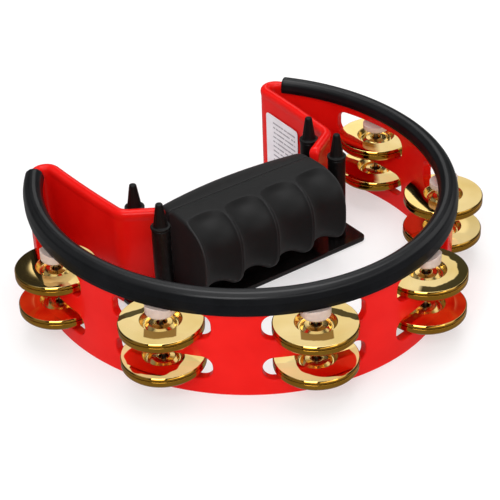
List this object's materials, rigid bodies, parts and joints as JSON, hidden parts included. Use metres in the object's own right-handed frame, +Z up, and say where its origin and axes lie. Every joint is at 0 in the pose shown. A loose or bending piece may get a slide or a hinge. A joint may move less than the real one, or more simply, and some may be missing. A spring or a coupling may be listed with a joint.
{
  "type": "tambourine",
  "caption": "Half-moon hand tambourine: a plastic frame bent round a cushioned grip, a rubber-edged rim and stacked brass jingles held on upright pins.",
  "frame": {"origin": "on the underside of the handle's base plate and the frame's lower edge, below the centre of the round part of the frame", "axes": "+X runs along the hand grip, +Y points from the round side towards the open side between the two frame ends, +Z is up, through the jingle pins, from the bare edge of the frame to the edge with the rubber trim"},
  "size_m": [0.2772, 0.2285, 0.0728],
  "materials": {
    "red_plastic": "gloss",
    "trim_rubber": "satin",
    "brass": "polished",
    "steel": "plain",
    "nylon": "translucent",
    "core_plastic": "gloss",
    "grip_rubber": "satin",
    "label_paper": "printed film"
  },
  "bodies": {
    "body": {"frame": "red_plastic", "rim_trim": "trim_rubber", "label": "label_paper", "handle_core": "core_plastic", "grip_palm": "grip_rubber", "grip_fingers": "grip_rubber", "cone_pin_lb": "core_plastic", "cone_pin_lf": "core_plastic", "cone_pin_rb": "core_plastic", "cone_pin_rf": "core_plastic", "pin_1": "steel", "bush_1": "nylon", "spacer_1": "nylon", "pin_2": "steel", "bush_2": "nylon", "spacer_2": "nylon", "pin_3": "steel", "bush_3": "nylon", "spacer_3": "nylon", "pin_4": "steel", "bush_4": "nylon", "spacer_4": "nylon", "pin_5": "steel", "bush_5": "nylon", "spacer_5": "nylon", "pin_6": "steel", "bush_6": "nylon", "spacer_6": "nylon"},
    "jingle_1_lower_pan": {"jingle_1_lower_pan": "brass"},
    "jingle_1_lower_cap": {"jingle_1_lower_cap": "brass"},
    "jingle_1_upper_pan": {"jingle_1_upper_pan": "brass"},
    "jingle_1_upper_cap": {"jingle_1_upper_cap": "brass"},
    "jingle_2_lower_pan": {"jingle_2_lower_pan": "brass"},
    "jingle_2_lower_cap": {"jingle_2_lower_cap": "brass"},
    "jingle_2_upper_pan": {"jingle_2_upper_pan": "brass"},
    "jingle_2_upper_cap": {"jingle_2_upper_cap": "brass"},
    "jingle_3_lower_pan": {"jingle_3_lower_pan": "brass"},
    "jingle_3_lower_cap": {"jingle_3_lower_cap": "brass"},
    "jingle_3_upper_pan": {"jingle_3_upper_pan": "brass"},
    "jingle_3_upper_cap": {"jingle_3_upper_cap": "brass"},
    "jingle_4_lower_pan": {"jingle_4_lower_pan": "brass"},
    "jingle_4_lower_cap": {"jingle_4_lower_cap": "brass"},
    "jingle_4_upper_pan": {"jingle_4_upper_pan": "brass"},
    "jingle_4_upper_cap": {"jingle_4_upper_cap": "brass"},
    "jingle_5_lower_pan": {"jingle_5_lower_pan": "brass"},
    "jingle_5_lower_cap": {"jingle_5_lower_cap": "brass"},
    "jingle_5_upper_pan": {"jingle_5_upper_pan": "brass"},
    "jingle_5_upper_cap": {"jingle_5_upper_cap": "brass"},
    "jingle_6_lower_pan": {"jingle_6_lower_pan": "brass"},
    "jingle_6_lower_cap": {"jingle_6_lower_cap": "brass"},
    "jingle_6_upper_pan": {"jingle_6_upper_pan": "brass"},
    "jingle_6_upper_cap": {"jingle_6_upper_cap": "brass"}
  },
  "joints": [
    {"name": "jingle_1_lower_pan_slide", "type": "slide", "parent": "body", "child": "jingle_1_lower_pan", "axis": [0, 0, 1], "range_m": [0, 0.0016]},
    {"name": "jingle_1_lower_cap_slide", "type": "slide", "parent": "jingle_1_lower_pan", "child": "jingle_1_lower_cap", "axis": [0, 0, 1], "range_m": [0, 0.0017]},
    {"name": "jingle_1_upper_pan_slide", "type": "slide", "parent": "body", "child": "jingle_1_upper_pan", "axis": [0, 0, 1], "range_m": [0, 0.0019]},
    {"name": "jingle_1_upper_cap_slide", "type": "slide", "parent": "jingle_1_upper_pan", "child": "jingle_1_upper_cap", "axis": [0, 0, 1], "range_m": [0, 0.002]},
    {"name": "jingle_2_lower_pan_slide", "type": "slide", "parent": "body", "child": "jingle_2_lower_pan", "axis": [0, 0, 1], "range_m": [0, 0.0016]},
    {"name": "jingle_2_lower_cap_slide", "type": "slide", "parent": "jingle_2_lower_pan", "child": "jingle_2_lower_cap", "axis": [0, 0, 1], "range_m": [0, 0.0017]},
    {"name": "jingle_2_upper_pan_slide", "type": "slide", "parent": "body", "child": "jingle_2_upper_pan", "axis": [0, 0, 1], "range_m": [0, 0.0019]},
    {"name": "jingle_2_upper_cap_slide", "type": "slide", "parent": "jingle_2_upper_pan", "child": "jingle_2_upper_cap", "axis": [0, 0, 1], "range_m": [0, 0.002]},
    {"name": "jingle_3_lower_pan_slide", "type": "slide", "parent": "body", "child": "jingle_3_lower_pan", "axis": [0, 0, 1], "range_m": [0, 0.0016]},
    {"name": "jingle_3_lower_cap_slide", "type": "slide", "parent": "jingle_3_lower_pan", "child": "jingle_3_lower_cap", "axis": [0, 0, 1], "range_m": [0, 0.0017]},
    {"name": "jingle_3_upper_pan_slide", "type": "slide", "parent": "body", "child": "jingle_3_upper_pan", "axis": [0, 0, 1], "range_m": [0, 0.0019]},
    {"name": "jingle_3_upper_cap_slide", "type": "slide", "parent": "jingle_3_upper_pan", "child": "jingle_3_upper_cap", "axis": [0, 0, 1], "range_m": [0, 0.002]},
    {"name": "jingle_4_lower_pan_slide", "type": "slide", "parent": "body", "child": "jingle_4_lower_pan", "axis": [0, 0, 1], "range_m": [0, 0.0016]},
    {"name": "jingle_4_lower_cap_slide", "type": "slide", "parent": "jingle_4_lower_pan", "child": "jingle_4_lower_cap", "axis": [0, 0, 1], "range_m": [0, 0.0017]},
    {"name": "jingle_4_upper_pan_slide", "type": "slide", "parent": "body", "child": "jingle_4_upper_pan", "axis": [0, 0, 1], "range_m": [0, 0.0019]},
    {"name": "jingle_4_upper_cap_slide", "type": "slide", "parent": "jingle_4_upper_pan", "child": "jingle_4_upper_cap", "axis": [0, 0, 1], "range_m": [0, 0.002]},
    {"name": "jingle_5_lower_pan_slide", "type": "slide", "parent": "body", "child": "jingle_5_lower_pan", "axis": [0, 0, 1], "range_m": [0, 0.0016]},
    {"name": "jingle_5_lower_cap_slide", "type": "slide", "parent": "jingle_5_lower_pan", "child": "jingle_5_lower_cap", "axis": [0, 0, 1], "range_m": [0, 0.0017]},
    {"name": "jingle_5_upper_pan_slide", "type": "slide", "parent": "body", "child": "jingle_5_upper_pan", "axis": [0, 0, 1], "range_m": [0, 0.0019]},
    {"name": "jingle_5_upper_cap_slide", "type": "slide", "parent": "jingle_5_upper_pan", "child": "jingle_5_upper_cap", "axis": [0, 0, 1], "range_m": [0, 0.002]},
    {"name": "jingle_6_lower_pan_slide", "type": "slide", "parent": "body", "child": "jingle_6_lower_pan", "axis": [0, 0, 1], "range_m": [0, 0.0016]},
    {"name": "jingle_6_lower_cap_slide", "type": "slide", "parent": "jingle_6_lower_pan", "child": "jingle_6_lower_cap", "axis": [0, 0, 1], "range_m": [0, 0.0017]},
    {"name": "jingle_6_upper_pan_slide", "type": "slide", "parent": "body", "child": "jingle_6_upper_pan", "axis": [0, 0, 1], "range_m": [0, 0.0019]},
    {"name": "jingle_6_upper_cap_slide", "type": "slide", "parent": "jingle_6_upper_pan", "child": "jingle_6_upper_cap", "axis": [0, 0, 1], "range_m": [0, 0.002]}
  ]
}
